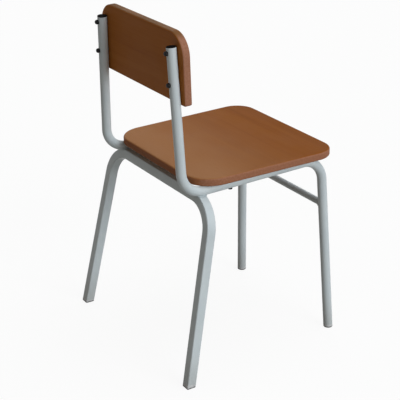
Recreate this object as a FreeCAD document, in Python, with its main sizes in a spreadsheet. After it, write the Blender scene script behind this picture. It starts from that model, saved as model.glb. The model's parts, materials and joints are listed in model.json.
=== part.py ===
"""Student chair: two bent round side tubes, a square-tube rear leg frame, board seat and backrest.

Millimetres and degrees. +Z is up, the sitter faces -Y, and the sitter's left is +X. The origin is on
the floor, in the middle of the chair's bounding box.
"""
import FreeCAD, Part
import math
import os
import re

import Sketcher

SIZES = {
    # seat board: a tapered board with rounded corners, a little lower at the rear
    "seat_height": 460,
    "seat_depth": 369,
    "seat_rear_width": 382,
    "seat_front_width": 394.5,
    "seat_thickness": 18,
    "seat_tilt": 1,
    "seat_rear_corner": 64,
    "seat_front_corner": 51,
    "seat_top_round": 4.5,
    "seat_bottom_round": 4,
    # round side tubes: upright, seat rail and front leg in one bend, in a plane that leans inwards
    "tube_diameter": 22,
    "tube_wall": 1.5,
    "rail_spacing": 329,
    "rail_toe": 1.5,
    "side_lean": 3.6,
    "upright_rise": 289,
    "upright_setback": 214,
    "upright_recline": 2.1,
    "front_leg_setback": 162,
    "front_leg_slant": 2.6,
    "rear_bend_radius": 51,
    "front_bend_radius": 53,
    # square rear leg frame: an inverted U that leans back, with splayed legs
    "square_side": 22,
    "square_wall": 1.5,
    "square_corner": 2.5,
    "saddle_depth": 4.2,
    "rear_rail_setback": 167,
    "rear_foot_setback": 247,
    "rear_corner_spacing": 428,
    "rear_foot_spacing": 485.5,
    "rear_frame_bend": 70,
    # front stretcher between the front legs
    "stretcher_diameter": 16,
    "stretcher_wall": 1.2,
    "stretcher_drop": 142,
    # backrest board in front of the uprights
    "backrest_width": 355,
    "backrest_height": 153.5,
    "backrest_drop": 125.5,
    "backrest_thickness": 18,
    "backrest_upper_corner": 49,
    "backrest_lower_corner": 5,
    "backrest_round": 3,
    # backrest bolts and their threaded sleeves
    "bolt_diameter": 6,
    "bolt_head_diameter": 10.5,
    "bolt_head_height": 7,
    "bolt_head_round": 4,
    "upper_bolt_drop": 11.5,
    "bolt_spacing": 67,
    "backrest_insert_length": 12,
    "insert_diameter": 9,
    # seat screws and their threaded sleeves: through the rails at the rear, through tabs at the front
    "screw_diameter": 5,
    "screw_head_diameter": 10,
    "screw_head_height": 3.2,
    "screw_head_round": 2,
    "rear_screw_setback": 91,
    "front_screw_setback": 91,
    "seat_insert_length": 10,
    "tab_reach": 22,
    "tab_width": 30,
    "tab_thickness": 3,
    "tab_corner": 6,
    # plugs in the open tube ends
    "cap_height": 1.5,
    "cap_round": 1,
    "cap_bolt_gap": 0.5,
    "plug_length": 20,
    "foot_lift": 8.5,
    "foot_round": 2.2,
    # welds and clearances
    "weld_size": 2.2,
    "fit_clearance": 0.05,
    "hole_clearance": 0.3,
    "insert_hole_spare": 2,
}

doc = FreeCAD.newDocument("student_chair")
sheet = doc.addObject("Spreadsheet::Sheet", "sizes")
for row, (alias, value) in enumerate(SIZES.items(), start=1):
    sheet.set(f"A{row}", alias)
    sheet.set(f"B{row}", str(value))
    sheet.setAlias(f"B{row}", alias)
doc.recompute()

CELL_WORD = re.compile(r"\b(" + "|".join(SIZES) + r")\b")


def cells(text):
    """Turn the plain size names of a formula into references to the sheet."""
    return CELL_WORD.sub(r"sizes.\1", str(text))


def number(text):
    """Present value of a formula, used to draw a sketch before its constraints take over."""
    return float(sheet.evalExpression(cells(text)))


def bind(obj, prop, text):
    obj.setExpression(prop, cells(text))


# Formulas shared by the pieces. Y is counted from the middle of the seat until a piece is placed.
TUBE_RADIUS = "(tube_diameter / 2)"
BORE_RADIUS = "(tube_diameter / 2 - tube_wall)"
SEAT_MID_TOP = "(seat_height - seat_depth / 2 * tan(seat_tilt))"
RAIL_MID = f"({SEAT_MID_TOP} - (seat_thickness + {TUBE_RADIUS} + fit_clearance) / cos(seat_tilt))"
UPRIGHT_TOP = "(seat_height + upright_rise)"
STRETCHER_Z = "(seat_height - stretcher_drop)"
SIDE_SKEW = "(sin(rail_toe) * tan(side_lean))"


def rail_z(y):
    """Height of a seat rail's axis: the rails run parallel to the underside of the seat."""
    return f"({RAIL_MID} - ({y}) * tan(seat_tilt))"


def side_x(y, z):
    """Half the distance between the two side tubes at a depth and a height."""
    spread = f"({RAIL_MID} - ({z})) * tan(side_lean) / cos(rail_toe)"
    return f"(rail_spacing / 2 + ({y}) * tan(rail_toe) + {spread})"


def side_plane(y, z):
    """The same depth and height, measured in the leaning plane of a side tube."""
    return f"((({y}) - {SIDE_SKEW} * ({z})) / cos(rail_toe))", f"(({z}) / cos(side_lean))"


def side_slope(tangent):
    """Angle from the plane's upright direction of a line whose depth changes by tangent per height."""
    return f"atan((({tangent}) - {SIDE_SKEW}) * cos(side_lean) / cos(rail_toe))"


REAR_RAIL_Z = f"({rail_z('rear_rail_setback')} - {TUBE_RADIUS} - square_side / 2 + saddle_depth)"
REAR_LEAN = f"atan((rear_foot_setback - rear_rail_setback) / {REAR_RAIL_Z})"
REAR_SPLAY = f"atan((rear_foot_spacing - rear_corner_spacing) / 2 * cos({REAR_LEAN}) / {REAR_RAIL_Z})"
UPRIGHT_CORNER_Z = rail_z("upright_setback")
FRONT_CORNER_Z = rail_z("-front_leg_setback")


def upright_y(z):
    return f"(upright_setback + (({z}) - {UPRIGHT_CORNER_Z}) * tan(upright_recline))"


def front_leg_y(z):
    return f"(-front_leg_setback - ({FRONT_CORNER_Z} - ({z})) * tan(front_leg_slant))"


REAR_FOOT_ROUND = "min(foot_round; 0.9 * square_corner)"


def foot_reach(half, slant, rounding):
    """How far a slanting leg's rounded foot stands out past the leg's axis at the floor."""
    return f"({half} / cos({slant}) - {rounding} * (tan({slant}) + 1 / cos({slant}) - 1))"


FRONT_FOOT_REACH = foot_reach(TUBE_RADIUS, "front_leg_slant", "foot_round")
FRONT_REACH = f"max(seat_depth / 2; {FRONT_FOOT_REACH} - {front_leg_y('0')})"
REAR_REACH = f"(rear_foot_setback + {foot_reach('square_side / 2', REAR_LEAN, REAR_FOOT_ROUND)})"
ORIGIN_SHIFT = f"(({FRONT_REACH} - {REAR_REACH}) / 2)"
RAIL_SLOPE = f"atan(tan(seat_tilt) * cos(rail_toe) / cos(side_lean) / (1 + {SIDE_SKEW} * tan(seat_tilt)))"


def turn_x(angle):
    return f"rotation(vector(1; 0; 0); {angle})"


def turn_y(angle):
    return f"rotation(vector(0; 1; 0); {angle})"


def turn_z(angle):
    return f"rotation(vector(0; 0; 1); {angle})"


def side_turn(side, roll="0"):
    """Turn of the leaning plane of the left (1) or right (-1) side tube, after a roll inside it."""
    return f"rotation({-side} * rail_toe; {-side} * side_lean; {roll})"


NO_TURN = turn_z("0")


def place(obj, x, y, z, turn=NO_TURN):
    """Place an object, with its depth counted from the middle of the seat."""
    bind(obj, "Placement", f"placement(vector({x}; ({y}) + {ORIGIN_SHIFT}; {z}); {turn})")


def new_body(label):
    body = doc.addObject("PartDesign::Body", label)
    body.Label = label
    return body


def new_sketch(body, role, name, offset=None):
    """Sketch on an origin plane of its own body, shifted or tilted by an offset formula."""
    sketch = body.newObject("Sketcher::SketchObject", name)
    plane = next(item for item in body.Origin.OriginFeatures if item.Role == role)
    sketch.AttachmentSupport = [(plane, "")]
    sketch.MapMode = "FlatFace"
    if offset:
        bind(sketch, "AttachmentOffset", offset)
    return sketch


def pin_point(sketch, geometry, end, u, v, name):
    """Hold a sketch point at two formulas; a formula of 0 puts it on an axis."""
    for kind, text, axis in (("DistanceX", u, -2), ("DistanceY", v, -1)):
        if text == "0":
            sketch.addConstraint(Sketcher.Constraint("PointOnObject", geometry, end, axis))
            continue
        index = sketch.addConstraint(Sketcher.Constraint(kind, -1, 1, geometry, end, number(text)))
        sketch.renameConstraint(index, f"{name}_{kind}")
        bind(sketch, f"Constraints.{name}_{kind}", text)


def corner_points(here, before, after, radius):
    """Where a rounding of that radius meets the two lines of a corner, and its centre."""
    to_before = (before - here).normalize()
    to_after = (after - here).normalize()
    half = to_before.getAngle(to_after) / 2
    reach = radius / math.tan(half)
    bisector = (to_before + to_after).normalize()
    return here + to_before * reach, here + to_after * reach, here + bisector * (radius / math.sin(half))


def rounded_path(sketch, corners, closed):
    """Straight lines through the corners (u, v, radius), each corner with a radius rounded by an arc."""
    count = len(corners)
    spots = [FreeCAD.Vector(number(u), number(v), 0) for u, v, _ in corners]
    entry = list(spots)
    leave = list(spots)
    centres = {}
    for i, (_, _, radius) in enumerate(corners):
        if radius:
            entry[i], leave[i], centres[i] = corner_points(
                spots[i], spots[i - 1], spots[(i + 1) % count], number(radius))
    line_count = count if closed else count - 1
    lines = []
    for i in range(line_count):
        lines.append(sketch.addGeometry(Part.LineSegment(leave[i], entry[(i + 1) % count]), False))
    for i, (u, v, radius) in enumerate(corners):
        before = lines[i - 1] if closed or i > 0 else None
        after = lines[i] if i < line_count else None
        if not radius:
            if before is not None and after is not None:
                sketch.addConstraint(Sketcher.Constraint("Coincident", before, 2, after, 1))
            if after is not None:
                pin_point(sketch, after, 1, u, v, f"corner{i}")
            else:
                pin_point(sketch, before, 2, u, v, f"corner{i}")
            continue
        start = entry[i] - centres[i]
        finish = leave[i] - centres[i]
        counter_clockwise = start.cross(finish).z > 0
        first, last = (start, finish) if counter_clockwise else (finish, start)
        angle_first = math.atan2(first.y, first.x)
        angle_last = math.atan2(last.y, last.x)
        circle = Part.Circle(centres[i], FreeCAD.Vector(0, 0, 1), number(radius))
        arc = sketch.addGeometry(Part.ArcOfCircle(circle, angle_first, angle_last), False)
        entry_end, leave_end = (1, 2) if counter_clockwise else (2, 1)
        spot = sketch.addGeometry(Part.Point(spots[i]), True)
        sketch.addConstraint(Sketcher.Constraint("Tangent", before, 2, arc, entry_end))
        sketch.addConstraint(Sketcher.Constraint("Tangent", after, 1, arc, leave_end))
        sketch.addConstraint(Sketcher.Constraint("PointOnObject", spot, 1, before))
        sketch.addConstraint(Sketcher.Constraint("PointOnObject", spot, 1, after))
        pin_point(sketch, spot, 1, u, v, f"corner{i}")
        index = sketch.addConstraint(Sketcher.Constraint("Radius", arc, number(radius)))
        sketch.renameConstraint(index, f"round{i}")
        bind(sketch, f"Constraints.round{i}", radius)


def ring(sketch, radius, name):
    """Circle about the sketch origin."""
    circle = Part.Circle(FreeCAD.Vector(), FreeCAD.Vector(0, 0, 1), number(radius))
    geometry = sketch.addGeometry(circle, False)
    sketch.addConstraint(Sketcher.Constraint("Coincident", geometry, 3, -1, 1))
    index = sketch.addConstraint(Sketcher.Constraint("Radius", geometry, number(radius)))
    sketch.renameConstraint(index, name)
    bind(sketch, f"Constraints.{name}", radius)


def rounded_square(sketch, half, radius):
    rounded_path(sketch, [(f"-{half}", f"-{half}", radius), (half, f"-{half}", radius),
                          (half, half, radius), (f"-{half}", half, radius)], closed=True)


def pipe(body, profile, spine):
    feature = body.newObject("PartDesign::AdditivePipe", body.Label + "_pipe")
    feature.Profile = profile
    feature.Spine = spine
    return feature


def turned(label, corners):
    """Body turned about its own Z axis from half a profile of (radius, height, rounding) corners."""
    body = new_body(label)
    sketch = new_sketch(body, "XZ_Plane", label + "_profile")
    rounded_path(sketch, corners, closed=True)
    feature = body.newObject("PartDesign::Revolution", label + "_turn")
    feature.Profile = sketch
    feature.ReferenceAxis = (sketch, ["V_Axis"])
    return body


def cylinder(label, radius, length):
    solid = doc.addObject("Part::Cylinder", label)
    bind(solid, "Radius", radius)
    bind(solid, "Height", length)
    return solid


def combine(kind, label, pieces):
    """Fuse or gather several shapes."""
    result = doc.addObject(kind, label)
    if kind == "Part::Compound":
        result.Links = pieces
    else:
        result.Shapes = pieces
    return result


def cut(label, base, tools):
    """What is left of base once all the tools are taken out of it."""
    result = doc.addObject("Part::Cut", label)
    result.Base = base
    result.Tool = tools[0] if len(tools) == 1 else combine("Part::MultiFuse", label + "_tools", tools)
    result.Label = label
    return result


SIDES = (("left", 1), ("right", -1))


def signed(side, text):
    return f"({side} * {text})"


# Directions of the fasteners: square to the backrest board, and square to the seat board.
INTO_BACKREST = turn_x("(90 - upright_recline)")
INTO_SEAT = turn_x("(-seat_tilt)")
UPPER_BOLT = f"({UPRIGHT_TOP} - upper_bolt_drop)"
LOWER_BOLT = f"({UPPER_BOLT} - bolt_spacing * cos(upright_recline))"
REAR_SCREW = "rear_screw_setback"
FRONT_SCREW = "(-front_screw_setback)"
TAB_MIDDLE = f"({TUBE_RADIUS} + tab_reach / 2)"


def place_bolt_line(obj, side, height, ahead):
    """Put an object on a backrest bolt's axis, a distance ahead of the upright's axis."""
    x = signed(side, side_x(upright_y(height), height))
    y = f"{upright_y(height)} - ({ahead}) * cos(upright_recline)"
    place(obj, x, y, f"{height} + ({ahead}) * sin(upright_recline)", INTO_BACKREST)


def place_along_screw(obj, side, spot, above, turn):
    """Put an object on a seat screw's axis, (depth, inward from the rail), above the rail's axis."""
    depth, inward = spot
    x = signed(side, f"({side_x(depth, rail_z(depth))} - {inward})")
    y = f"{depth} + ({above}) * sin(seat_tilt)"
    place(obj, x, y, f"{rail_z(depth)} + ({above}) * cos(seat_tilt)", turn)


def place_screw_line(obj, side, spot, above):
    place_along_screw(obj, side, spot, above, INTO_SEAT)


def four_of(label, make, spots, put, distance):
    """Four pieces alike, one on each side at each of two spots."""
    made = []
    for side_name, side in SIDES:
        for spot_name, spot in spots:
            piece = make(f"{label}_{side_name}_{spot_name}")
            put(piece, side, spot, distance)
            made.append(piece)
    return made


# Where a head and a board meet a tube, counted from the tube's axis along the fastener.
HEAD_FACE = f"(-{TUBE_RADIUS} - fit_clearance)"
BOARD_FACE = f"({TUBE_RADIUS} + fit_clearance)"
BOLT_SPOTS = (("upper", UPPER_BOLT), ("lower", LOWER_BOLT))
SCREW_SPOTS = (("rear", (REAR_SCREW, "0")), ("front", (FRONT_SCREW, TAB_MIDDLE)))
SCREW_GRIP = {"rear": "(tube_diameter + fit_clearance)", "front": "tab_thickness"}


def side_bar(label, side, radii):
    """Round bar or tube bent along a side: front leg, seat rail and upright."""
    body = new_body(label)
    place(body, signed(side, side_x("0", "0")), "0", "0", side_turn(side))
    foot = side_plane(front_leg_y("foot_lift"), "foot_lift")
    front_corner = side_plane("-front_leg_setback", FRONT_CORNER_Z)
    rear_corner = side_plane("upright_setback", UPRIGHT_CORNER_Z)
    top = side_plane(upright_y(UPRIGHT_TOP), UPRIGHT_TOP)
    spine = new_sketch(body, "YZ_Plane", label + "_spine")
    rounded_path(spine, [(*foot, None), (*front_corner, "front_bend_radius"),
                         (*rear_corner, "rear_bend_radius"), (*top, None)], closed=False)
    tilt = turn_x(f"-{side_slope('tan(front_leg_slant)')}")
    profile = new_sketch(body, "XY_Plane", label + "_profile",
                         f"placement(vector(0; {foot[0]}; {foot[1]}); {tilt})")
    for step, radius in enumerate(radii):
        ring(profile, radius, f"ring{step}")
    pipe(body, profile, spine)
    return body


def side_tube(name, side):
    """One bent tube, foot to upright top, drilled for the backrest bolts and the seat screws."""
    body = side_bar(f"{name}_side_tube_bent", side, (TUBE_RADIUS, BORE_RADIUS))
    through = "2 * tube_diameter"
    drills = []
    for spot_name, height in BOLT_SPOTS:
        drill = cylinder(f"{name}_{spot_name}_bolt_drill", "bolt_diameter / 2 + hole_clearance", through)
        place_bolt_line(drill, side, height, "-tube_diameter")
        drills.append(drill)
    screw_drill = cylinder(f"{name}_screw_drill", "screw_diameter / 2 + hole_clearance", through)
    place_screw_line(screw_drill, side, (REAR_SCREW, "0"), "-tube_diameter")
    drills.append(screw_drill)
    return cut(f"{name}_side_tube", body, drills)


def rail_rod(name, side, radius):
    """Solid length of a seat rail, about where it carries a tab."""
    rod = cylinder(name, radius, "6 * square_side")
    start = f"({FRONT_SCREW} - 3 * square_side)"
    place(rod, signed(side, side_x(start, rail_z(start))), start, rail_z(start),
          side_turn(side, f"-(90 deg + {RAIL_SLOPE})"))
    return rod


def leg_rod(name, side, radius):
    """Solid length of a front leg where the stretcher meets it."""
    rod = cylinder(name, radius, "6 * stretcher_diameter")
    start = f"({STRETCHER_Z} - 3 * stretcher_diameter)"
    place(rod, signed(side, side_x(front_leg_y(start), start)), front_leg_y(start), start,
          side_turn(side, f"-{side_slope('tan(front_leg_slant)')}"))
    return rod


RAIL_CLEAR = f"{TUBE_RADIUS} + fit_clearance"


def rear_foot_x(z):
    return f"((rear_foot_spacing - (rear_foot_spacing - rear_corner_spacing) * ({z}) / {REAR_RAIL_Z}) / 2)"


def rear_bar(label, spare):
    """Square bar bent along the rear frame's inverted U, thicker all round by the spare."""
    body = new_body(label)
    place(body, "0", "rear_foot_setback", "0", turn_x(REAR_LEAN))
    foot_x = rear_foot_x("foot_lift")
    foot_z = f"(foot_lift / cos({REAR_LEAN}))"
    rail_up = f"({REAR_RAIL_Z} / cos({REAR_LEAN}))"
    corner_x = "(rear_corner_spacing / 2)"
    spine = new_sketch(body, "XZ_Plane", label + "_spine")
    rounded_path(spine, [(foot_x, foot_z, None), (corner_x, rail_up, "rear_frame_bend"),
                         (f"-{corner_x}", rail_up, "rear_frame_bend"),
                         (f"-{foot_x}", foot_z, None)], closed=False)
    start = f"placement(vector({foot_x}; 0; {foot_z}); {turn_y('-' + REAR_SPLAY)})"
    profile = new_sketch(body, "XY_Plane", label + "_profile", start)
    rounded_square(profile, f"(square_side / 2 + {spare})", f"(square_corner + {spare})")
    pipe(body, profile, spine)
    return body, spine, start


def rear_leg_frame():
    """Square tube bent into an inverted U, its rail notched so that the seat rails sit down in it."""
    body, spine, start = rear_bar("rear_leg_frame_bent", "0")
    bore = new_sketch(body, "XY_Plane", "rear_leg_frame_bore_profile", start)
    rounded_square(bore, "(square_side / 2 - square_wall)", "(square_corner - square_wall)")
    hollow = body.newObject("PartDesign::SubtractivePipe", "rear_leg_frame_bore")
    hollow.Profile = bore
    hollow.Spine = spine
    saddles = [side_bar(f"{name}_saddle_cutter", side, [RAIL_CLEAR]) for name, side in SIDES]
    return cut("rear_leg_frame", body, saddles)


def front_stretcher():
    """Thin tube across the front legs, its ends coped to their round sides."""
    y = front_leg_y(STRETCHER_Z)
    half = side_x(y, STRETCHER_Z)
    tube = cylinder("stretcher_outside", "stretcher_diameter / 2", f"2 * {half}")
    bore = cylinder("stretcher_bore", "stretcher_diameter / 2 - stretcher_wall", f"2 * {half}")
    for solid in (tube, bore):
        place(solid, f"-{half}", y, STRETCHER_Z, turn_y("90"))
    copes = [leg_rod(f"{name}_cope_cutter", side, RAIL_CLEAR) for name, side in SIDES]
    return cut("front_stretcher", tube, [bore] + copes)


def board(label, corners, thickness, edge_rounds):
    """Flat board from an outline, with its edges rounded: (formula, True for the upper face) pairs."""
    body = new_body(label)
    outline = new_sketch(body, "XY_Plane", label + "_outline")
    rounded_path(outline, corners, closed=True)
    pad = body.newObject("PartDesign::Pad", label + "_pad")
    pad.Profile = outline
    bind(pad, "Length", thickness)
    doc.recompute()
    tip = pad
    for step, (rounding, upper) in enumerate(edge_rounds):
        level = number(thickness) if upper else 0
        names = [f"Edge{i + 1}" for i, edge in enumerate(tip.Shape.Edges)
                 if all(abs(vertex.Z - level) < 1e-6 for vertex in edge.Vertexes)
                 and abs(edge.CenterOfMass.z - level) < 1e-6]
        fillet = body.newObject("PartDesign::Fillet", f"{label}_round{step}")
        fillet.Base = (tip, names)
        bind(fillet, "Radius", rounding)
        doc.recompute()
        tip = fillet
    return body


def seat_board():
    """Seat with its underside on the rails, drilled from below for the threaded sleeves."""
    rear = "(seat_rear_width / 2)"
    front = "(seat_front_width / 2)"
    half = "(seat_depth / 2)"
    corners = [(f"-{front}", f"-{half}", "seat_front_corner"), (front, f"-{half}", "seat_front_corner"),
               (rear, half, "seat_rear_corner"), (f"-{rear}", half, "seat_rear_corner")]
    body = board("seat_board_blank", corners, "seat_thickness",
                 [("seat_top_round", True), ("seat_bottom_round", False)])
    place(body, "0", "-seat_thickness * sin(seat_tilt)",
          f"{SEAT_MID_TOP} - seat_thickness * cos(seat_tilt)", INTO_SEAT)
    drills = four_of("seat_insert_hole", lambda label: cylinder(
        label, "insert_diameter / 2", "seat_insert_length + insert_hole_spare + fit_clearance"),
        SCREW_SPOTS, place_screw_line, TUBE_RADIUS)
    return cut("seat_board", body, drills)


def backrest_board():
    """Backrest with its rear face against the fronts of the uprights, drilled from behind."""
    half = "(backrest_width / 2)"
    corners = [(f"-{half}", "0", "backrest_lower_corner"), (half, "0", "backrest_lower_corner"),
               (half, "backrest_height", "backrest_upper_corner"),
               (f"-{half}", "backrest_height", "backrest_upper_corner")]
    body = board("backrest_board_blank", corners, "backrest_thickness",
                 [("backrest_round", True), ("backrest_round", False)])
    lower_edge = f"({UPRIGHT_TOP} - backrest_drop)"
    place(body, "0", f"{upright_y(lower_edge)} - {BOARD_FACE} * cos(upright_recline)",
          f"{lower_edge} + {BOARD_FACE} * sin(upright_recline)", INTO_BACKREST)
    drills = four_of("backrest_insert_hole", lambda label: cylinder(
        label, "insert_diameter / 2", "backrest_insert_length + insert_hole_spare + fit_clearance"),
        BOLT_SPOTS, place_bolt_line, TUBE_RADIUS)
    return cut("backrest_board", body, drills)


def fastener(label, diameter, length, head_diameter, head_height, head_round):
    """Domed head below the origin, shank above it."""
    shank = f"({diameter} / 2)"
    head = f"({head_diameter} / 2)"
    return turned(label, [("0", f"-{head_height}", None), (head, f"-{head_height}", head_round),
                          (head, "0", None), (shank, "0", None), (shank, length, None), ("0", length, None)])


def backrest_bolt(label):
    return fastener(label, "bolt_diameter", "(tube_diameter + backrest_insert_length)",
                    "bolt_head_diameter", "bolt_head_height", "bolt_head_round")


def seat_screws():
    """A screw with its head under each rail at the rear, and under each tab at the front."""
    made = []
    for side_name, side in SIDES:
        for spot_name, spot in SCREW_SPOTS:
            grip = SCREW_GRIP[spot_name]
            screw = fastener(f"seat_screw_{side_name}_{spot_name}", "screw_diameter",
                             f"({grip} + seat_insert_length)", "screw_head_diameter",
                             "screw_head_height", "screw_head_round")
            place_screw_line(screw, side, spot, f"({BOARD_FACE} - {grip} - fit_clearance)")
            made.append(screw)
    return made


def seat_tab(name, side):
    """Flat lug under the seat, its edge coped to the inner side of a rail, drilled for a screw."""
    body = new_body(f"{name}_seat_tab_blank")
    half = "(tab_width / 2)"
    reach = f"({TUBE_RADIUS} + tab_reach)"
    outline = new_sketch(body, "XY_Plane", f"{name}_seat_tab_outline")
    rounded_path(outline, [("0", f"-{half}", None), (reach, f"-{half}", "tab_corner"),
                           (reach, half, "tab_corner"), ("0", half, None)], closed=True)
    pad = body.newObject("PartDesign::Pad", f"{name}_seat_tab_pad")
    pad.Profile = outline
    bind(pad, "Length", "tab_thickness")
    turn = INTO_SEAT if side < 0 else f"{INTO_SEAT} * {turn_z('180')}"
    place_along_screw(body, side, (FRONT_SCREW, "0"), f"({TUBE_RADIUS} - tab_thickness)", turn)
    hole = cylinder(f"{name}_seat_tab_hole", "screw_diameter / 2 + hole_clearance", "4 * tab_thickness")
    place_screw_line(hole, side, (FRONT_SCREW, TAB_MIDDLE), f"({TUBE_RADIUS} - 2 * tab_thickness)")
    rail = rail_rod(f"{name}_seat_tab_cope", side, RAIL_CLEAR)
    return cut(f"{name}_seat_tab", body, [hole, rail])


def sleeve(label, bore, length):
    inner = f"({bore} / 2 + fit_clearance)"
    outer = "(insert_diameter / 2 - fit_clearance)"
    return turned(label, [(inner, "0", None), (outer, "0", None),
                          (outer, length, None), (inner, length, None)])


def upright_cap(name, side):
    """Round plug in the top of an upright, down to the upper bolt, with a head as wide as the tube."""
    spigot = f"({BORE_RADIUS} - fit_clearance)"
    inside = "(upper_bolt_drop - bolt_diameter / 2 - hole_clearance - cap_bolt_gap)"
    body = turned(f"{name}_upright_cap", [
        ("0", f"-{inside}", None), (spigot, f"-{inside}", None), (spigot, "0", None),
        (TUBE_RADIUS, "0", None), (TUBE_RADIUS, "cap_height", "cap_round"), ("0", "cap_height", None)])
    y = upright_y(UPRIGHT_TOP)
    place(body, signed(side, side_x(y, UPRIGHT_TOP)), y, UPRIGHT_TOP,
          side_turn(side, f"-{side_slope('tan(upright_recline)')}"))
    return body


FOOT_DROP = "(2 * foot_lift)"


def level_foot(body, turn, rounding):
    """Cut a slanting foot level with the floor and round the edge that it stands on."""
    floor = new_sketch(body, "XY_Plane", body.Label + "_floor",
                       f"minvert(placement(vector(0; 0; foot_lift); {turn}))")
    rounded_square(floor, "(2 * square_side + 2 * tube_diameter)", None)
    doc.recompute()
    whole = body.Shape.Volume
    pocket = body.newObject("PartDesign::Pocket", body.Label + "_level")
    pocket.Profile = floor
    bind(pocket, "Length", "4 * foot_lift")
    doc.recompute()
    if not 0.2 * whole < body.Shape.Volume < 0.95 * whole:
        raise RuntimeError(f"{body.Label} isn't cut level")
    rim = []
    for index, edge in enumerate(pocket.Shape.Edges, start=1):
        spots = [body.Placement.multVec(point) for point in edge.discretize(5)]
        if all(abs(spot.z) < 1e-5 for spot in spots):
            rim.append(f"Edge{index}")
    fillet = body.newObject("PartDesign::Fillet", body.Label + "_rim")
    fillet.Base = (pocket, rim)
    bind(fillet, "Radius", rounding)


def front_foot_plug(name, side):
    """Round foot: a spigot in the leg's bore and a band as wide as the tube, level with the floor."""
    spigot = f"({BORE_RADIUS} - fit_clearance)"
    body = turned(f"front_{name}_foot_plug", [
        ("0", f"-{FOOT_DROP}", None), (TUBE_RADIUS, f"-{FOOT_DROP}", None), (TUBE_RADIUS, "0", None),
        (spigot, "0", None), (spigot, "plug_length", None), ("0", "plug_length", None)])
    y = front_leg_y("foot_lift")
    turn = side_turn(side, f"-{side_slope('tan(front_leg_slant)')}")
    place(body, signed(side, side_x(y, "foot_lift")), y, "foot_lift", turn)
    level_foot(body, turn, "foot_round")
    return body


def rear_foot_plug(name, side):
    """Square foot of the same kind."""
    body = new_body(f"rear_{name}_foot_plug")
    spigot = new_sketch(body, "XY_Plane", f"rear_{name}_foot_spigot")
    rounded_square(spigot, "(square_side / 2 - square_wall - fit_clearance)", "(square_corner - square_wall)")
    up = body.newObject("PartDesign::Pad", f"rear_{name}_foot_up")
    up.Profile = spigot
    bind(up, "Length", "plug_length")
    band = new_sketch(body, "XY_Plane", f"rear_{name}_foot_band")
    rounded_square(band, "(square_side / 2)", "square_corner")
    down = body.newObject("PartDesign::Pad", f"rear_{name}_foot_down")
    down.Profile = band
    down.Reversed = True
    bind(down, "Length", FOOT_DROP)
    y = f"(rear_foot_setback - foot_lift * tan({REAR_LEAN}))"
    turn = f"{turn_x(REAR_LEAN)} * {turn_y(signed(-side, REAR_SPLAY))}"
    place(body, signed(side, rear_foot_x("foot_lift")), y, "foot_lift", turn)
    level_foot(body, turn, REAR_FOOT_ROUND)
    return body


def bead(label, first, second, cores):
    """Weld: the space shared by two slightly thicker members, less the members themselves."""
    shared = doc.addObject("Part::MultiCommon", label + "_shared")
    shared.Shapes = [first, second]
    return cut(label, shared, cores)


def rear_weld(name, side, around, core):
    """Bead round a seat rail where it sits in the notch of the rear frame."""
    thick = side_bar(f"rear_{name}_weld_rail", side, [f"{TUBE_RADIUS} + weld_size"])
    rail = side_bar(f"rear_{name}_weld_rail_core", side, [RAIL_CLEAR])
    return bead(f"rear_{name}_weld_bead", thick, around, [rail, core])


def stretcher_weld(name, side):
    """Bead round one end of the stretcher where it meets a front leg."""
    thick = leg_rod(f"stretcher_{name}_weld_leg", side, f"{TUBE_RADIUS} + weld_size")
    core = leg_rod(f"stretcher_{name}_weld_leg_core", side, RAIL_CLEAR)
    y = front_leg_y(STRETCHER_Z)
    rods = []
    for kind, spare in (("around", "weld_size"), ("core", "fit_clearance")):
        rod = cylinder(f"stretcher_{name}_weld_{kind}", f"stretcher_diameter / 2 + {spare}",
                       side_x(y, STRETCHER_Z))
        place(rod, "0", y, STRETCHER_Z, turn_y(signed(side, "90")))
        rods.append(rod)
    return bead(f"stretcher_{name}_weld_bead", thick, rods[0], [core, rods[1]])


nodes = []
weld_around = rear_bar("rear_weld_frame", "weld_size")[0]
weld_core = rear_bar("rear_weld_frame_core", "fit_clearance")[0]
for side_name, side_sign in SIDES:
    nodes.append(side_tube(side_name, side_sign))
    nodes.append(upright_cap(side_name, side_sign))
    nodes.append(front_foot_plug(side_name, side_sign))
    nodes.append(rear_foot_plug(side_name, side_sign))
    nodes.append(seat_tab(side_name, side_sign))
    nodes.append(rear_weld(side_name, side_sign, weld_around, weld_core))
    nodes.append(stretcher_weld(side_name, side_sign))
nodes.append(rear_leg_frame())
nodes.append(front_stretcher())
nodes.append(seat_board())
nodes.append(backrest_board())
nodes.append(combine("Part::Compound", "backrest_bolts", four_of(
    "backrest_bolt", backrest_bolt, BOLT_SPOTS, place_bolt_line, HEAD_FACE)))
nodes.append(combine("Part::Compound", "backrest_inserts", four_of(
    "backrest_insert", lambda label: sleeve(label, "bolt_diameter", "backrest_insert_length"),
    BOLT_SPOTS, place_bolt_line, BOARD_FACE)))
nodes.append(combine("Part::Compound", "seat_screws", seat_screws()))
nodes.append(combine("Part::Compound", "seat_inserts", four_of(
    "seat_insert", lambda label: sleeve(label, "screw_diameter", "seat_insert_length"),
    SCREW_SPOTS, place_screw_line, BOARD_FACE)))
doc.recompute()

for item in doc.Objects:
    if "Invalid" in item.State or "Error" in item.State:
        raise RuntimeError(f"{item.Label} failed: {item.State}")
for node in nodes:
    if node.Shape.isNull() or not node.Shape.isValid():
        raise RuntimeError(f"{node.Label} has no valid shape")

os.makedirs("parts", exist_ok=True)
for node in nodes:
    node.Shape.exportStep(f"parts/{node.Label}.step")
    print(node.Label, len(node.Shape.Solids), round(node.Shape.Volume, 1))
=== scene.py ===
"""Looks of the student chair: painted tube frame, brown board seat and backrest, pale studio floor."""

import json
import math

import bpy
from mathutils import Matrix, Vector

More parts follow.
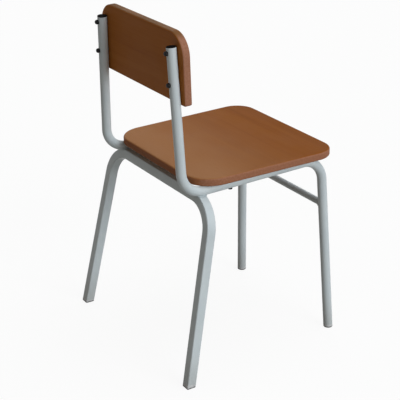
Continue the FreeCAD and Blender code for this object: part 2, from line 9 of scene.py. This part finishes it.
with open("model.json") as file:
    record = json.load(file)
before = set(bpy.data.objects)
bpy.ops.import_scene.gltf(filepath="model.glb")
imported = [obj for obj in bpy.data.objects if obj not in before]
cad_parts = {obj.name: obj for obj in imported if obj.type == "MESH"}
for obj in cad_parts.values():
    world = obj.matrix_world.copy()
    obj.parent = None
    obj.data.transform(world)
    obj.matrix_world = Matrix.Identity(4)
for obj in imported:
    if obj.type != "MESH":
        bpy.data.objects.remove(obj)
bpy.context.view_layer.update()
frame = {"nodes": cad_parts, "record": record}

# Camera of the photograph, found by fitting the chair's edges: metres, degrees and pixels.
IMAGE_WIDTH = 400
FOCAL_PIXELS = 1216.9
VIEW_AZIMUTH = 238.04
VIEW_ELEVATION = 22.95
VIEW_DISTANCE = 2.870
VIEW_ROLL = -0.28
VIEW_TARGET = Vector((0.0211, 0.0188, 0.3096))
SENSOR_WIDTH = 36.0
UPWARDS = Vector((0, 0, 1))

# Surround: low warm light from all round, which the camera and reflections see as a white backdrop.
SURROUND = 0.207
SURROUND_TINT = (1.0, 0.945, 0.87, 1.0)
BACKDROP = 0.973
WHITE = (1.0, 1.0, 1.0, 1.0)

# Lamps: a broad cool one low on the sitter's right, one overhead, and a warmer one on the left.
# A direction points from the chair to its lamp, and a spread is in degrees.
KEY_DIRECTION = Vector((-1.79, -0.40, 0.54))
KEY_STRENGTH = 2.01
KEY_TINT = (0.93, 0.97, 1.0)
KEY_SPREAD = 40.0
TOP_DIRECTION = Vector((-0.10, -0.29, 1.02))
TOP_STRENGTH = 1.15
TOP_SPREAD = 60.0
FILL_DIRECTION = Vector((0.83, -0.55, 0.08))
FILL_STRENGTH = 1.2
FILL_TINT = (1.0, 0.98, 0.95)
FILL_SPREAD = 30.0

# Floor: metres across, the colour that it throws back, and how far its white is its own glow.
FLOOR_SIZE = 40.0
FLOOR_BOUNCE = (0.27, 0.25, 0.22, 1.0)
FLOOR_GLOW = 0.90
GLOW_STRENGTH = 1.0


def linear(red, green, blue):
    """Linear colour of a display colour given in steps of 255, by the sRGB formula."""
    def one(step):
        share = step / 255
        return share / 12.92 if share <= 0.04045 else ((share + 0.055) / 1.055) ** 2.4
    return one(red), one(green), one(blue), 1.0


# Paint: dust and scuffs cover a share of it, and dust fades out at a height in metres.
PAINT_TONES = linear(199, 207, 210), linear(193, 202, 206)
DUST = linear(150, 146, 138)
DUST_TOP = 0.10
DUST_SHARE = 0.35
SCUFF = linear(140, 140, 138)
SCUFF_SHARE = 0.35
PAINT_ROUGHNESS = 0.34, 0.48
PAINT_GLOSS = 0.2
PEEL_DEPTH = 0.0003

# Wood: shares of broad figure and fine streaks in its tone, and where the dark, middle and light tones lie.
FIGURE_SHARE = 0.6
STREAK_SHARE = 0.4
TONE_STOPS = 0.34, 0.5, 0.68
PORE_SHARE = 0.28
STREAK_HEIGHT = 0.35
GRAIN_STRENGTH = 0.12
GRAIN_DEPTH = 0.0002
WOOD_ROUGHNESS = 0.40, 0.52

# Painted light on the wood: a painted sheen lightens the seat's top from front to rear, in metres along Y
# with a ragged border; then the shares of the backrest's front tone and of the painted shade on its edges.
SHEEN_START = -0.12
SHEEN_END = 0.21
SHEEN_RAGGED = 0.10
FRONT_TONE_SHARE = 0.75
EDGE_SHADE_SHARE = 0.7, 1.0

# How squarely a surface lies across an axis where its face, painted edge shade or end tone starts and is
# full.
FACE_TURN = 0.5, 0.9
EDGE_SHADE_TURN = 0.45, 0.85
END_TURN = 0.35, 0.75

# Plastic and black coating: scuffs, grainy skin, and painted shade that darkens them below a height in
# metres.
WORN_SHARE = 0.5
FLOOR_SHADE = linear(30, 29, 28)
FLOOR_SHADE_TOP = 0.0055
FLOOR_SHADE_FULL = 0.001
FLOOR_SHADE_SHARE = 0.95
SKIN_STRENGTH = 0.18
SKIN_DEPTH = 0.0002
SKIN_ROUGHNESS_RISE = 0.15

# Plated steel.
PLATE_TONES = linear(190, 188, 182), linear(160, 158, 152)
PLATE_ROUGHNESS = 0.25, 0.4
PLATE_GLOSS = 0.5


class Shader:
    """A material's nodes: makes them, links them and reaches the surface shader."""

    def __init__(self, name):
        self.material = bpy.data.materials.new(name)
        self.material.use_nodes = True
        self.tree = self.material.node_tree
        self.surface = self.tree.nodes["Principled BSDF"]

    def node(self, kind, inputs=None, **settings):
        """A new node with its settings, its inputs set or linked."""
        made = self.tree.nodes.new(kind)
        for key, value in settings.items():
            setattr(made, key, value)
        for key, value in (inputs or {}).items():
            self.feed(made.inputs[key], value)
        return made

    def feed(self, socket, value):
        """Set a socket to a plain value, or link an output to it."""
        if isinstance(value, bpy.types.NodeSocket):
            self.tree.links.new(value, socket)
        else:
            socket.default_value = value

    def noise(self, cells, detail=4.0, roughness=0.55, distortion=0.0):
        """Noise with so many cells per metre, the same along every axis or given for X, Y and Z."""
        scale = cells if isinstance(cells, tuple) else (cells, cells, cells)
        place = self.node("ShaderNodeTexCoord").outputs["Object"]
        stretched = self.node("ShaderNodeMapping", {"Vector": place, "Scale": scale}).outputs["Vector"]
        inputs = {"Vector": stretched, "Scale": 1.0, "Detail": detail,
                  "Roughness": roughness, "Distortion": distortion}
        return self.node("ShaderNodeTexNoise", inputs).outputs["Fac"]

    def band(self, value, low, high, to_low=0.0, to_high=1.0):
        """A value that goes smoothly from to_low to to_high as another goes from low to high."""
        inputs = {"Value": value, "From Min": low, "From Max": high, "To Min": to_low, "To Max": to_high}
        return self.node("ShaderNodeMapRange", inputs, interpolation_type="SMOOTHSTEP").outputs["Result"]

    def math(self, operation, first, second=0.0):
        """A sum, product or other operation on one or two values."""
        made = self.node("ShaderNodeMath", operation=operation)
        self.feed(made.inputs[0], first)
        self.feed(made.inputs[1], second)
        return made.outputs["Value"]

    def mix(self, share, first, second):
        """The first colour, with a share of the second over it."""
        inputs = {"Factor": share, "A": first, "B": second}
        return self.node("ShaderNodeMix", inputs, data_type="RGBA").outputs["Result"]

    def ramp(self, value, stops):
        """Colours along a value, from pairs of place and colour."""
        made = self.node("ShaderNodeValToRGB", {"Fac": value})
        elements = made.color_ramp.elements
        while len(elements) < len(stops):
            elements.new(0.5)
        for element, (place, colour) in zip(elements, stops):
            element.position = place
            element.color = colour
        return made.outputs["Color"]

    def spot(self, axis):
        """One coordinate on the object, in metres in the chair's frame."""
        place = self.node("ShaderNodeTexCoord").outputs["Object"]
        return self.node("ShaderNodeSeparateXYZ", {"Vector": place}).outputs[axis]

    def toward(self, axis):
        """How far the surface faces up an axis, from -1 to 1."""
        normal = self.node("ShaderNodeTexCoord").outputs["Normal"]
        return self.node("ShaderNodeSeparateXYZ", {"Vector": normal}).outputs[axis]

    def facing(self, axis):
        """How squarely the surface lies across an axis, from 0 to 1."""
        return self.math("ABSOLUTE", self.toward(axis))

    def bump(self, height, strength, distance):
        """Relief of the surface, with its depth in metres."""
        inputs = {"Height": height, "Strength": strength, "Distance": distance}
        self.feed(self.surface.inputs["Normal"], self.node("ShaderNodeBump", inputs).outputs["Normal"])

    def finish(self, colour, roughness, gloss):
        """Feed the surface shader, and give the material."""
        self.feed(self.surface.inputs["Base Color"], colour)
        self.feed(self.surface.inputs["Roughness"], roughness)
        self.surface.inputs["Specular IOR Level"].default_value = gloss
        return self.material


def painted_steel(name, peel_cells, peel_strength):
    """Pale grey stove enamel: orange peel, cloudy tone, scuffs, and dust towards the floor."""
    make = Shader(name)
    cloud = make.band(make.noise(14, detail=3), low=0.3, high=0.7)
    base = make.mix(cloud, *PAINT_TONES)
    dust = make.math("MULTIPLY", make.band(make.spot("Z"), DUST_TOP, 0.0), DUST_SHARE)
    base = make.mix(dust, base, DUST)
    scuffs = make.band(make.noise((260, 260, 55), detail=5, roughness=0.7), low=0.66, high=0.72)
    base = make.mix(make.math("MULTIPLY", scuffs, SCUFF_SHARE), base, SCUFF)
    rough = make.band(make.noise(40), 0.2, 0.8, *PAINT_ROUGHNESS)
    make.bump(make.noise(peel_cells, detail=2), peel_strength, PEEL_DEPTH)
    return make.finish(base, rough, PAINT_GLOSS)


def board_wood(name, tones, end_tones, gloss, shift, pale_edges=0.0, painted_sheen=None, front_tone=None, edge_shade=None):
    """Varnished wood: long grain across the chair, fine pores, paler pinker ends that are partly the cut
    board's tone and partly painted sheen, and painted light and shade on some faces.

    The shift makes one board's grain differ from another's. The long edges take pale_edges of the ends'
    tone. Colours may be given for a painted sheen on the top towards the rear, for the front, which lacks
    the painted light in the other tones, and for painted shade on the upper and lower edges.
    """
    make = Shader(name)
    light, middle, dark = tones
    figure = make.noise((1.6, 26, 26 + shift), detail=3, roughness=0.5, distortion=0.6)
    streaks = make.noise((5, 240, 240 + shift), detail=5, roughness=0.6)
    tone = make.math("ADD", make.math("MULTIPLY", figure, FIGURE_SHARE),
                     make.math("MULTIPLY", streaks, STREAK_SHARE))
    base = make.ramp(tone, list(zip(TONE_STOPS, (dark, middle, light))))
    face_start, face_full = FACE_TURN
    # Painted sheen: the seat's top grows lighter and greyer towards the rear.
    if painted_sheen:
        ragged = make.math("MULTIPLY", make.noise(7, detail=2), SHEEN_RAGGED)
        rearward = make.band(make.math("ADD", make.spot("Y"), ragged), SHEEN_START, SHEEN_END)
        on_top = make.band(make.facing("Z"), face_start, face_full)
        base = make.mix(make.math("MULTIPLY", rearward, on_top), base, painted_sheen)
    # Painted light: the front keeps the wood's own darker tone, while the rest of the board keeps lighter
    # tones that lift the shade on its rear face.
    if front_tone:
        on_front = make.band(make.toward("Y"), -face_start, -face_full)
        base = make.mix(make.math("MULTIPLY", on_front, FRONT_TONE_SHARE), base, front_tone)
    # Painted shade: the upper and lower edges are darker, in patches.
    if edge_shade:
        patchy_shade = make.band(make.noise((12, 40, 40), detail=3), 0.25, 0.6, *EDGE_SHADE_SHARE)
        on_edge = make.band(make.facing("Z"), *EDGE_SHADE_TURN)
        base = make.mix(make.math("MULTIPLY", on_edge, patchy_shade), base, edge_shade)
    # The ends are paler and pinker: partly the cut board's own tone, partly painted sheen where light
    # catches them; the seat's long edges take some of it too.
    cut_end_and_sheen = make.band(make.facing("X"), *END_TURN)
    if pale_edges:
        long_edge = make.band(make.facing("Y"), face_start, face_full)
        cut_end_and_sheen = make.math("MAXIMUM", cut_end_and_sheen, make.math("MULTIPLY", long_edge, pale_edges))
    end_tone = make.mix(make.band(streaks, low=0.3, high=0.7), *end_tones)
    base = make.mix(cut_end_and_sheen, base, end_tone)
    pores = make.band(make.noise((28, 900, 900), detail=2), low=0.60, high=0.72)
    base = make.mix(make.math("MULTIPLY", pores, PORE_SHARE), base, dark)
    rough = make.band(make.noise(9), 0.25, 0.75, *WOOD_ROUGHNESS)
    height = make.math("SUBTRACT", make.math("MULTIPLY", streaks, STREAK_HEIGHT), pores)
    make.bump(height, GRAIN_STRENGTH, GRAIN_DEPTH)
    return make.finish(base, rough, gloss)


def grainy_skin(name, colour, worn, roughness, gloss):
    """Moulded plastic or black coating: fine grainy skin, scuffs here and there, and painted shade at the
    floor.
    """
    make = Shader(name)
    scuffs = make.band(make.noise(180, detail=5), low=0.58, high=0.72)
    base = make.mix(make.math("MULTIPLY", scuffs, WORN_SHARE), colour, worn)
    # Painted shade: darker within a few millimetres of the floor.
    floor_shade = make.math("MULTIPLY", make.band(make.spot("Z"), FLOOR_SHADE_TOP, FLOOR_SHADE_FULL), FLOOR_SHADE_SHARE)
    base = make.mix(floor_shade, base, FLOOR_SHADE)
    rough = make.band(make.noise(300), 0.2, 0.8, roughness, roughness + SKIN_ROUGHNESS_RISE)
    make.bump(make.noise(2600, detail=2), SKIN_STRENGTH, SKIN_DEPTH)
    return make.finish(base, rough, gloss)


def plated_steel(name):
    """Bright plated steel of the threaded sleeves."""
    make = Shader(name)
    make.surface.inputs["Metallic"].default_value = 1.0
    tone = make.noise(400)
    rough = make.band(tone, 0.3, 0.7, *PLATE_ROUGHNESS)
    return make.finish(make.mix(tone, *PLATE_TONES), rough, PLATE_GLOSS)


def light_path_mix(tree, plain, shown):
    """Shader that shows one thing to the camera and to reflections, and another to all other light."""
    path = tree.nodes.new("ShaderNodeLightPath")
    seen = path.outputs["Is Camera Ray"]
    for output in ("Is Glossy Ray", "Is Transmission Ray"):
        joined = tree.nodes.new("ShaderNodeMath")
        joined.operation = "MAXIMUM"
        tree.links.new(seen, joined.inputs[0])
        tree.links.new(path.outputs[output], joined.inputs[1])
        seen = joined.outputs["Value"]
    mixed = tree.nodes.new("ShaderNodeMixShader")
    tree.links.new(seen, mixed.inputs["Fac"])
    tree.links.new(plain, mixed.inputs[1])
    tree.links.new(shown, mixed.inputs[2])
    return mixed.outputs["Shader"]


def studio_world():
    """Warm surround that lights the chair, shown as a white backdrop."""
    world = bpy.data.worlds.new("studio")
    bpy.context.scene.world = world
    world.use_nodes = True
    tree = world.node_tree
    plain = tree.nodes["Background"]
    plain.inputs["Strength"].default_value = SURROUND
    plain.inputs["Color"].default_value = SURROUND_TINT
    shown = tree.nodes.new("ShaderNodeBackground")
    shown.inputs["Color"].default_value = WHITE
    shown.inputs["Strength"].default_value = BACKDROP
    surface = light_path_mix(tree, plain.outputs["Background"], shown.outputs["Background"])
    tree.links.new(surface, tree.nodes["World Output"].inputs["Surface"])


def floor_material():
    """Dull to the light that it throws back, and white with a faint shadow to the camera."""
    material = bpy.data.materials.new("studio_floor")
    material.use_nodes = True
    tree = material.node_tree
    tree.nodes.remove(tree.nodes["Principled BSDF"])
    dull = tree.nodes.new("ShaderNodeBsdfDiffuse")
    dull.inputs["Color"].default_value = FLOOR_BOUNCE
    white = tree.nodes.new("ShaderNodeBsdfDiffuse")
    white.inputs["Color"].default_value = WHITE
    glow = tree.nodes.new("ShaderNodeEmission")
    glow.inputs["Strength"].default_value = GLOW_STRENGTH
    blend = tree.nodes.new("ShaderNodeMixShader")
    blend.inputs["Fac"].default_value = FLOOR_GLOW
    tree.links.new(white.outputs["BSDF"], blend.inputs[1])
    tree.links.new(glow.outputs["Emission"], blend.inputs[2])
    surface = light_path_mix(tree, dull.outputs["BSDF"], blend.outputs["Shader"])
    tree.links.new(surface, tree.nodes["Material Output"].inputs["Surface"])
    return material


def studio_floor():
    """Pale floor under the chair."""
    half = FLOOR_SIZE / 2
    corners = [(-half, -half, 0), (half, -half, 0), (half, half, 0), (-half, half, 0)]
    mesh = bpy.data.meshes.new("studio_floor")
    mesh.from_pydata(corners, [], [(0, 1, 2, 3)])
    mesh.materials.append(floor_material())
    floor = bpy.data.objects.new("studio_floor", mesh)
    bpy.context.scene.collection.objects.link(floor)


def studio_lamp(name, direction, strength, tint, spread, glare):
    """Far lamp in a direction, which shows in glossy surfaces only where glare is true."""
    lamp = bpy.data.lights.new(name, "SUN")
    lamp.energy = strength
    lamp.color = tint
    lamp.angle = math.radians(spread)
    holder = bpy.data.objects.new(name, lamp)
    bpy.context.scene.collection.objects.link(holder)
    holder.visible_glossy = glare
    holder.rotation_mode = "QUATERNION"
    holder.rotation_quaternion = (-direction).to_track_quat("-Z", "Y")


def photo_camera():
    """Camera where the photograph was taken from."""
    azimuth = math.radians(VIEW_AZIMUTH)
    elevation = math.radians(VIEW_ELEVATION)
    back = Vector((math.sin(azimuth) * math.cos(elevation),
                   -math.cos(azimuth) * math.cos(elevation), math.sin(elevation)))
    right = (-back).cross(UPWARDS).normalized()
    up = back.cross(right)
    turn = Matrix((right, up, back)).transposed() @ Matrix.Rotation(math.radians(VIEW_ROLL), 3, "Z")
    data = bpy.data.cameras.new("photo_camera")
    data.sensor_width = SENSOR_WIDTH
    data.lens = FOCAL_PIXELS * SENSOR_WIDTH / IMAGE_WIDTH
    camera = bpy.data.objects.new("photo_camera", data)
    camera.matrix_world = Matrix.Translation(VIEW_TARGET + back * VIEW_DISTANCE) @ turn.to_4x4()
    bpy.context.scene.collection.objects.link(camera)
    bpy.context.scene.camera = camera


# One material for each of the record's slots, and a rougher paint for the weld beads.
SLOT_MATERIALS = {
    "frame_paint": painted_steel("frame_paint", peel_cells=750, peel_strength=0.10),
    # Seat: its lighter rear top is painted sheen, and its pinker ends and edges are partly painted sheen.
    "seat_wood": board_wood(
        "seat_wood",
        tones=(linear(145, 86, 32), linear(140, 80, 27), linear(132, 74, 24)),
        end_tones=(linear(158, 110, 86), linear(145, 97, 72)),
        gloss=0.02, shift=0.0, pale_edges=0.6, painted_sheen=linear(163, 114, 75)),
    # Backrest: its tones are lighter than the seat's and than its front's, painted light that lifts the
    # shade on its rear face.
    "backrest_wood": board_wood(
        "backrest_wood",
        tones=(linear(171, 106, 50), linear(165, 100, 43), linear(156, 92, 38)),
        end_tones=(linear(160, 114, 92), linear(148, 101, 78)),
        gloss=0.03, shift=5.0, front_tone=linear(143, 93, 55), edge_shade=linear(116, 83, 54)),
    "black_plastic": grainy_skin(
        "black_plastic", linear(5, 5, 5), worn=linear(20, 20, 21), roughness=0.60, gloss=0.03),
    # The feet take painted shade within a few millimetres of the floor.
    "foot_plastic": grainy_skin(
        "foot_plastic", linear(196, 197, 198), worn=linear(150, 148, 144), roughness=0.5, gloss=0.2),
    "black_steel": grainy_skin(
        "black_steel", linear(12, 12, 13), worn=linear(34, 34, 36), roughness=0.45, gloss=0.15),
    "bare_steel": plated_steel("bare_steel"),
}
WELD_MATERIAL = painted_steel("weld_paint", peel_cells=420, peel_strength=0.9)

for part in frame["record"]["subparts"]:
    piece = frame["nodes"][part["node"]]
    is_weld = part["node"].endswith("weld_bead")
    piece.data.materials.clear()
    piece.data.materials.append(WELD_MATERIAL if is_weld else SLOT_MATERIALS[part["material_slot"]])

studio_world()
studio_floor()
studio_lamp("key_lamp", KEY_DIRECTION, KEY_STRENGTH, KEY_TINT, KEY_SPREAD, glare=True)
studio_lamp("top_lamp", TOP_DIRECTION, TOP_STRENGTH, KEY_TINT, TOP_SPREAD, glare=False)
studio_lamp("fill_lamp", FILL_DIRECTION, FILL_STRENGTH, FILL_TINT, FILL_SPREAD, glare=False)
photo_camera()
bpy.context.scene.view_settings.view_transform = "Standard"
